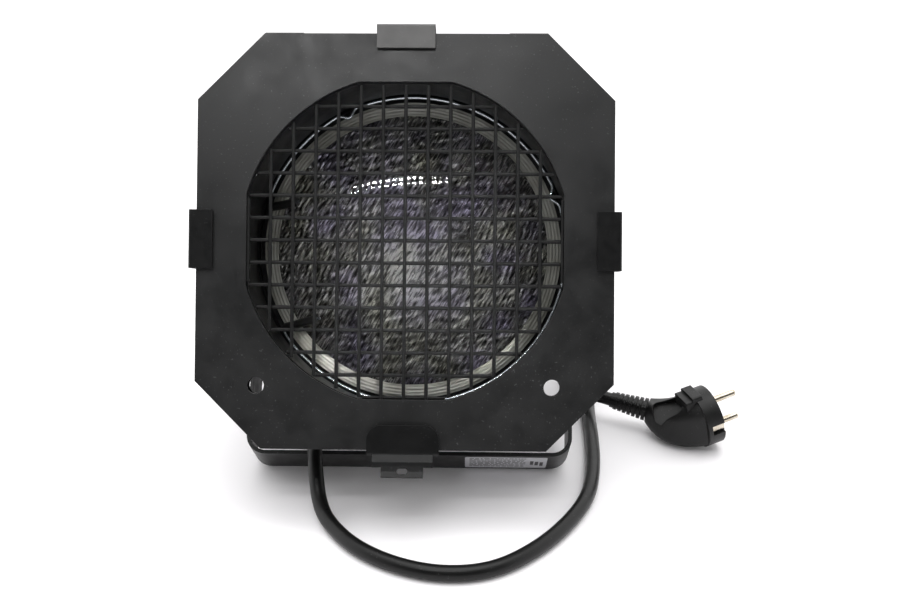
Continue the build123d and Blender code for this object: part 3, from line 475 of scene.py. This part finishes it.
def lens_mesh():
    """Smooth dome outside, and an inner face with a square grid over its stippled field."""
    outer = [(radius, dome(radius, CROWN, SEAM + 3, RIM_RADIUS)) for radius in OUTER_RADII]
    for step in range(RIPPLES):
        radius = min(LENS_FIELD + RIPPLE_PITCH * (step + 1), RIM_RADIUS)
        ripple = RIPPLE_DEPTH if step % 3 == 1 else 0.0
        outer.append((radius, dome(radius, CROWN, SEAM + 3, RIM_RADIUS) - ripple))
    outer += [(RIM_RADIUS + 0.5, SEAM + 3), (FLANGE_RADIUS - 0.6, SEAM + 3),
              (FLANGE_RADIUS, SEAM + 2.4), (FLANGE_RADIUS, SEAM), (93, SEAM), (92.6, SEAM + 0.2),
              (LENS_FIELD, dome(LENS_FIELD, INNER_CROWN, SEAM, INNER_RADIUS))]
    form = bmesh.new()
    cells = int(LENS_FIELD / STEP)
    grid = {}
    for i in range(-cells, cells + 1):
        for j in range(-cells, cells + 1):
            x, y = i * STEP, j * STEP
            radius = sqrt(x * x + y * y)
            if radius < LENS_FIELD - STEP:
                fade = min(1, (LENS_FIELD - radius) / FIELD_FADE)
                height = dome(radius, INNER_CROWN, SEAM, INNER_RADIUS) - fade * stipple(x, y)
                grid[i, j] = form.verts.new(at(x, y, height))
    for (i, j), corner in grid.items():
        ring = [grid.get(key) for key in ((i + 1, j), (i + 1, j + 1), (i, j + 1))]
        if all(ring):
            form.faces.new((corner, *ring)).material_index = PRISMS
    loops = []
    for radius, height in outer:
        loops.append([form.verts.new(at(radius * cos(2 * pi * k / AROUND),
                                        radius * sin(2 * pi * k / AROUND), height))
                      for k in range(AROUND)])
    for index, (low, high) in enumerate(zip(loops, loops[1:])):
        for k in range(AROUND):
            after = (k + 1) % AROUND
            wall = form.faces.new((low[k], high[k], high[after], low[after]))
            wall.material_index = RIM if outer[index][0] >= LENS_FIELD - 1 else GLASS
    form.faces.new(loops[0])
    inner = set(loops[-1])
    # the dome's inner ring is joined to the ragged edge of the grid
    border = [edge for edge in form.edges if edge.is_boundary]
    grid_border = [edge for edge in border if edge.verts[0] not in inner]
    ring_border = [edge for edge in border if edge.verts[0] in inner]
    for face in bmesh.ops.bridge_loops(form, edges=grid_border + ring_border)["faces"]:
        face.material_index = PRISMS
    bmesh.ops.triangulate(form, faces=[face for face in form.faces if len(face.verts) > 4])
    bmesh.ops.recalc_face_normals(form, faces=form.faces[:])
    data = bpy.data.meshes.new("stippled_lens")
    form.to_mesh(data)
    form.free()
    # each point keeps its painted reflection and shade tone
    shares = data.attributes.new("painted_reflection_tone", "FLOAT", "POINT")
    values = []
    for vertex in data.vertices:
        away = vertex.co - pivot
        values.append(painted_reflection_tone(away.dot(sideways) / MM, away.dot(upward) / MM))
    shares.data.foreach_set("value", values)
    return data


lens_data = lens_mesh()
for look in (glass, prisms, rim_look):     # in the order GLASS, PRISMS, RIM
    lens_data.materials.append(look)
lens_data.shade_smooth()
lens = bpy.data.objects.new("stippled_lens", lens_data)
scene.collection.objects.link(lens)
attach(lens, "can")
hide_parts("lamp_lens")

# ------------------------------------------------------------ wire ring
RING_WIRE_R = 0.00125
RING_R = 105             # of the ring's middle line, millimetres
RING_HEIGHT = 48.5
KINKS = (116, 21, -94)   # places where the ring is pressed inwards, degrees
KINK_DEPTH = 5.5
RING_AZIMUTHS = [158, 150, 140, 130, 122, 119, 116, 113, 110, 102, 92, 82, 72, 62, 52, 42, 32,
                 27, 24, 21, 18, 15, 8, -2, -12, -22, -32, -42, -52, -62, -72, -82, -88, -91,
                 -94, -97, -100, -108, -118, -128, -138, -146]
# the wire's two ends turn in over the lens, at the left
ring_places = [at(-76, 31, 62), at(-88, 30, 57), at(-99, 28, 50)]
for azimuth in RING_AZIMUTHS:
    from_middle = RING_R - (KINK_DEPTH if azimuth in KINKS else 0)
    turn = radians(azimuth)
    ring_places.append(at(from_middle * cos(turn), from_middle * sin(turn), RING_HEIGHT))
ring_places += [at(-88, -54, 50), at(-76, -50.5, 57), at(-61, -47, 62)]
ring_curve = bpy.data.curves.new("spring_ring", "CURVE")
ring_curve.dimensions = "3D"
ring_curve.bevel_depth = 1.0        # as for the cord
ring_curve.bevel_resolution = 4
ring_curve.resolution_u = 6
ring_curve.use_fill_caps = True
ring_line = ring_curve.splines.new("NURBS")
ring_line.points.add(len(ring_places) - 1)
for point, place in zip(ring_line.points, ring_places):
    point.co = (*place, 1)
    point.radius = RING_WIRE_R
ring_line.order_u = 3
ring_line.use_endpoint_u = True
ring_curve.materials.append(wire_steel)
spring_ring = bpy.data.objects.new("spring_ring", ring_curve)
scene.collection.objects.link(spring_ring)
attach(spring_ring, "can")
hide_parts("retaining_ring")

# ------------------------------------------------------------ marks on the rating label
LABEL_FACE = 0.15651           # from the pivot to just over the label's face, metres
label_middle = pivot + reach * LABEL_FACE
mark_vertices, mark_faces = [], []


def mark(x, y, width, height):
    """One flat printed patch on the label, from its middle, in millimetres."""
    first = len(mark_vertices)
    for dx, dy in ((0, 0), (width, 0), (width, height), (0, height)):
        mark_vertices.append(label_middle + sideways * (x + dx) * MM
                             + strap_across * (y + dy) * MM)
    mark_faces.append((first, first + 1, first + 2, first + 3))


DASH_ROWS, TOP_ROW, ROW_DROP, DASH_HEIGHT = 7, 8.2, 2.7, 1.1
FIRST_DASH, LAST_DASH, ROW_END = 40.0, 76, 77
for row in range(DASH_ROWS):
    x = FIRST_DASH
    while x < LAST_DASH:
        width = random.uniform(1.2, 4.5)
        mark(x, TOP_ROW - row * ROW_DROP, min(width, ROW_END - x), DASH_HEIGHT)
        x += width + random.uniform(0.5, 1.1)
for bar in range(3):
    mark(80 + bar * 3.2, -4.0 - bar, 2.2, 8.0)
mark_data = bpy.data.meshes.new("label_marks")
mark_data.from_pydata([tuple(vertex) for vertex in mark_vertices], [], mark_faces)
mark_data.materials.append(ink)
marks = bpy.data.objects.new("label_marks", mark_data)
scene.collection.objects.link(marks)
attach(marks, "yoke")

# ------------------------------------------------------------ floor and light
floor_look = finish("pale_floor", (0.95, 0.935, 0.95, 1), 0.6, mottle=0.01, mottle_scale=3,
                    bump_scale=60, bump=0.02)
FLOOR_SIZE = 30
bpy.ops.mesh.primitive_plane_add(size=FLOOR_SIZE, location=(0, 0, 0))
floor = bpy.context.object
floor.name = "floor"
floor.data.materials.append(floor_look)

world = bpy.data.worlds.new("studio")
scene.world = world
world.use_nodes = True
sky_tree = world.node_tree
background = sky_tree.nodes["Background"]
direction = put(sky_tree, "TexCoord").outputs["Generated"]
facing = put(sky_tree, "VectorMath", {0: direction, 1: forward}, operation="DOT_PRODUCT")
# dark where the can looks, so the lens and the frame don't mirror a white room
surround = ramp(sky_tree, facing.outputs["Value"], (0.3, 1.0), (0.72, 0.06))
seen = put(sky_tree, "LightPath").outputs["Is Camera Ray"]
sky_tree.links.new(mixed(sky_tree, seen, surround, rgb(1.0)), background.inputs["Color"])
background.inputs["Strength"].default_value = 1.7


def softbox(name, place, target, size, power):
    """Rectangular area light that faces its target; power in watts, size in metres."""
    data = bpy.data.lights.new(name, "AREA")
    data.shape = "RECTANGLE"
    data.size, data.size_y = size
    data.energy = power
    made = bpy.data.objects.new(name, data)
    scene.collection.objects.link(made)
    made.location = place
    made.rotation_euler = (Vector(target) - Vector(place)).to_track_quat("-Z", "Y").to_euler()
    return made


softbox("top_box", (0, -0.3, 1.7), (0, 0, 0), size=(1.8, 1.4), power=18)
fill = softbox("front_fill", (0, -1.9, 0.8), (0, 0, 0.05), size=(1.8, 0.7), power=7)
fill.visible_glossy = False
beam = softbox("core_light", (0.12, -1.05, 0.62), PAINTED_HIGHLIGHT_MIDDLE, size=(0.12, 0.12), power=0.2)
beam.data.spread = radians(3)
beam.visible_glossy = False

# two rows of small lamps over the front, seen only as the curved highlight on the lens
LAMPS_IN_ROW = 15
LAMP_PITCH = 0.0255
ROWS_APART = 0.028
LAMP_HALF_WIDE, LAMP_HALF_HIGH = 0.008, 0.005
ROWS_LEFT = 0.085              # the rows' middle is this far to the left
ROWS_Y, ROWS_Z = -0.52, 0.685
ARCH, ARCH_TOP = 0.35, 0.1     # fall of the rows by the square of the distance from x = ARCH_TOP
LAMP_STRENGTH = 110
lamp_rows = bpy.data.meshes.new("lamp_rows")
row_form = bmesh.new()
for row_height in (0, ROWS_APART):
    for index in range(LAMPS_IN_ROW):
        x = (index - LAMPS_IN_ROW // 2) * LAMP_PITCH - ROWS_LEFT
        middle = Vector((x, ROWS_Y, ROWS_Z + row_height - ARCH * (x - ARCH_TOP) ** 2))
        corners = [middle + Vector((wide * LAMP_HALF_WIDE, 0, high * LAMP_HALF_HIGH))
                   for wide, high in ((-1, -1), (1, -1), (1, 1), (-1, 1))]
        row_form.faces.new([row_form.verts.new(corner) for corner in corners])
row_form.to_mesh(lamp_rows)
row_form.free()
row_glow = bpy.data.materials.new("row_glow")
row_glow.use_nodes = True
glow_shade = row_glow.node_tree.nodes["Principled BSDF"]
glow_shade.inputs["Emission Color"].default_value = rgb(1.0)
glow_shade.inputs["Emission Strength"].default_value = LAMP_STRENGTH
lamp_rows.materials.append(row_glow)
rows = bpy.data.objects.new("lamp_rows", lamp_rows)
scene.collection.objects.link(rows)
rows.visible_camera = False

scene.view_settings.view_transform = "Standard"
